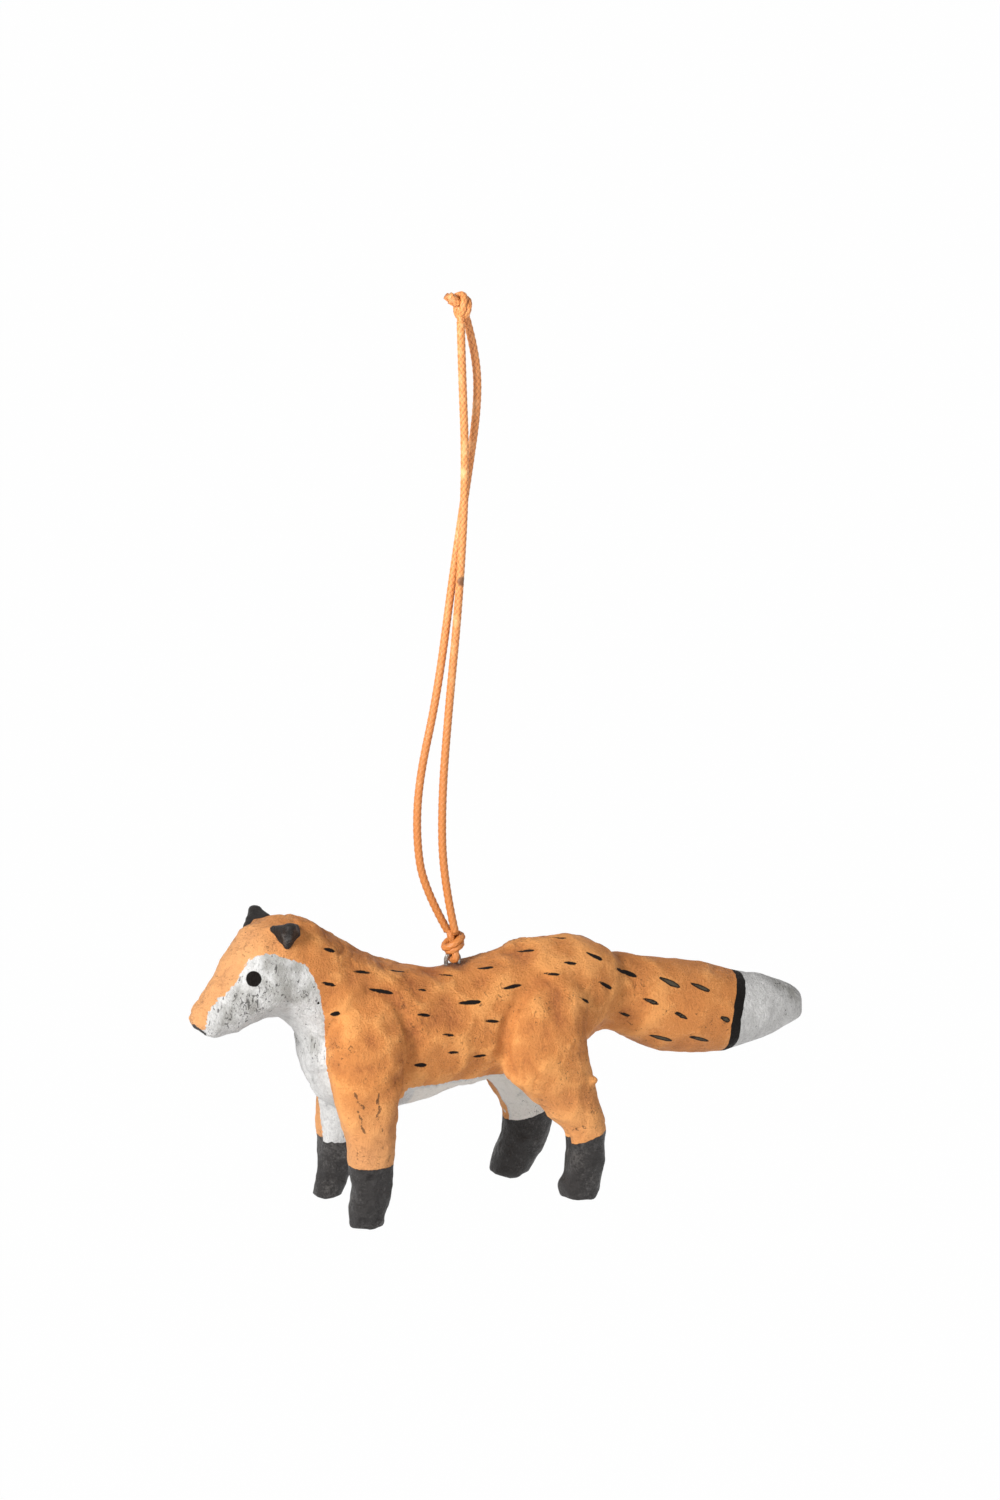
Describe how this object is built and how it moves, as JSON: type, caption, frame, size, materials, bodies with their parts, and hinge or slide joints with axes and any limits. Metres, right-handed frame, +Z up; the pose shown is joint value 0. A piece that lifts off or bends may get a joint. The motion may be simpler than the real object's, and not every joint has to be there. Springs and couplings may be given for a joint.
{
  "type": "hanging fox ornament",
  "caption": "Small standing fox moulded in painted paper pulp over a wire frame, hung by a loop of waxed cord tied through a wire eye in its back.",
  "frame": {"origin": "inside top of the cord loop, just under the upper knot, where a hook or twig carries it", "axes": "+X from the fox's nose towards its tail, +Y towards its right side, +Z up along the hanging cord"},
  "size_m": [0.1297, 0.0314, 0.1736],
  "materials": {
    "painted_pulp": "matt paint over moulded paper pulp",
    "ear_pulp": "matt black paint over pinched paper pulp",
    "eye_wire": "dull galvanised wire",
    "rolled_paper": "loosely rolled waste paper",
    "packed_paper": "tightly packed waste paper",
    "frame_wire": "galvanised wire",
    "paper_tape": "crepe paper tape",
    "waxed_cord": "waxed braided cotton"
  },
  "bodies": {
    "cord": {"front_strand": "waxed_cord", "rear_strand": "waxed_cord", "top_knot": "waxed_cord"},
    "tied_knot": {"lower_knot": "waxed_cord"},
    "fox": {"paper_skin": "painted_pulp", "torso_core": "rolled_paper", "neck_core": "packed_paper", "head_core": "packed_paper", "tail_core": "rolled_paper", "front_left_leg_core": "rolled_paper", "front_right_leg_core": "rolled_paper", "hind_left_leg_core": "rolled_paper", "hind_right_leg_core": "rolled_paper", "spine_wire": "frame_wire", "front_leg_wire": "frame_wire", "hind_leg_wire": "frame_wire", "shoulder_tape": "paper_tape", "hip_tape": "paper_tape", "left_ear": "ear_pulp", "right_ear": "ear_pulp", "hanging_eye": "eye_wire"}
  },
  "joints": [
    {"name": "cord_twist", "type": "hinge", "parent": "cord", "child": "tied_knot", "pos_m": [-0.0024, 0, -0.1213], "axis": [0, 0, 1], "range_deg": [-180, 180], "deforming": ["front_strand", "rear_strand"]},
    {"name": "eye_swing", "type": "hinge", "parent": "tied_knot", "child": "fox", "pos_m": [-0.0024, 0, -0.1213], "axis": [0, 1, 0], "range_deg": [-40, 40]}
  ]
}
